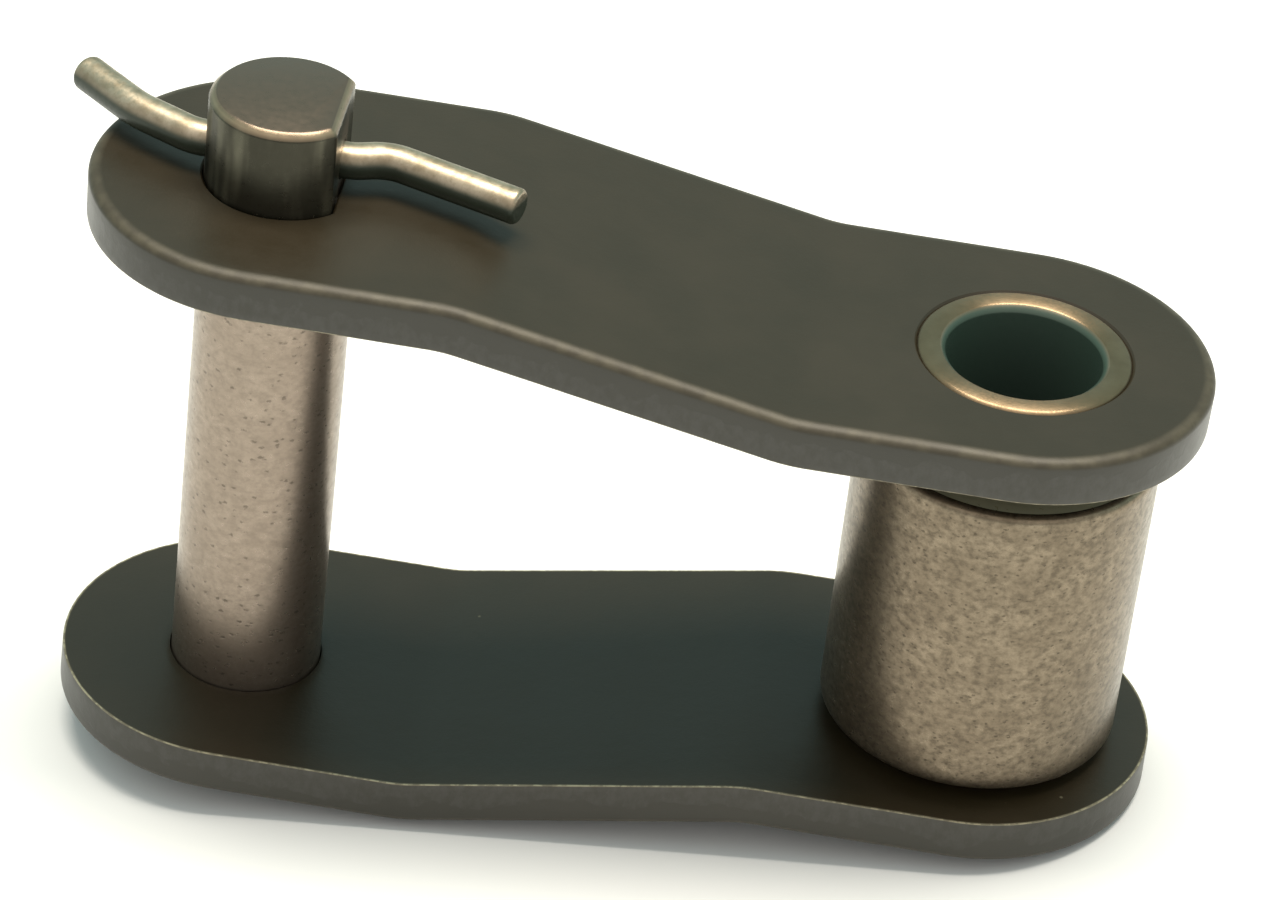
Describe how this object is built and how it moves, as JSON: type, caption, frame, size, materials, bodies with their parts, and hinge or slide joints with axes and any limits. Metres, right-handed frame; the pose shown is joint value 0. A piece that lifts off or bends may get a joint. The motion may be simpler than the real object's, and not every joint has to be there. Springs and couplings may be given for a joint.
{
  "type": "offset link",
  "caption": "Offset link of a roller chain: two cranked side plates, a bush with a loose roller, and a headed pin held by a bent cotter.",
  "frame": {"origin": "centre of the bush's bore, on the mid-plane between the side plates", "axes": "+Z along the bush and pin axes, towards the cotter end of the pin; +X along the link, from the connecting pin to the bush; +Y across the link"},
  "size_m": [0.0645, 0.021, 0.0411],
  "materials": {
    "plate_steel": "oil-blackened, tumbled, with bright worn edges",
    "bush_steel": "ground, slightly tanned",
    "roller_steel": "tumbled satin with fine pits",
    "pin_steel": "satin with fine dark pits",
    "cotter_steel": "bright drawn wire"
  },
  "bodies": {
    "link": {"upper_plate": "plate_steel", "lower_plate": "plate_steel", "bush": "bush_steel", "connecting_pin": "pin_steel", "cotter_pin": "cotter_steel"},
    "roller": {"roller": "roller_steel"}
  },
  "joints": [
    {"name": "roller_spin", "type": "hinge", "parent": "link", "child": "roller", "pos_m": [0, 0, 0], "axis": [0, 0, 1], "continuous": true}
  ]
}
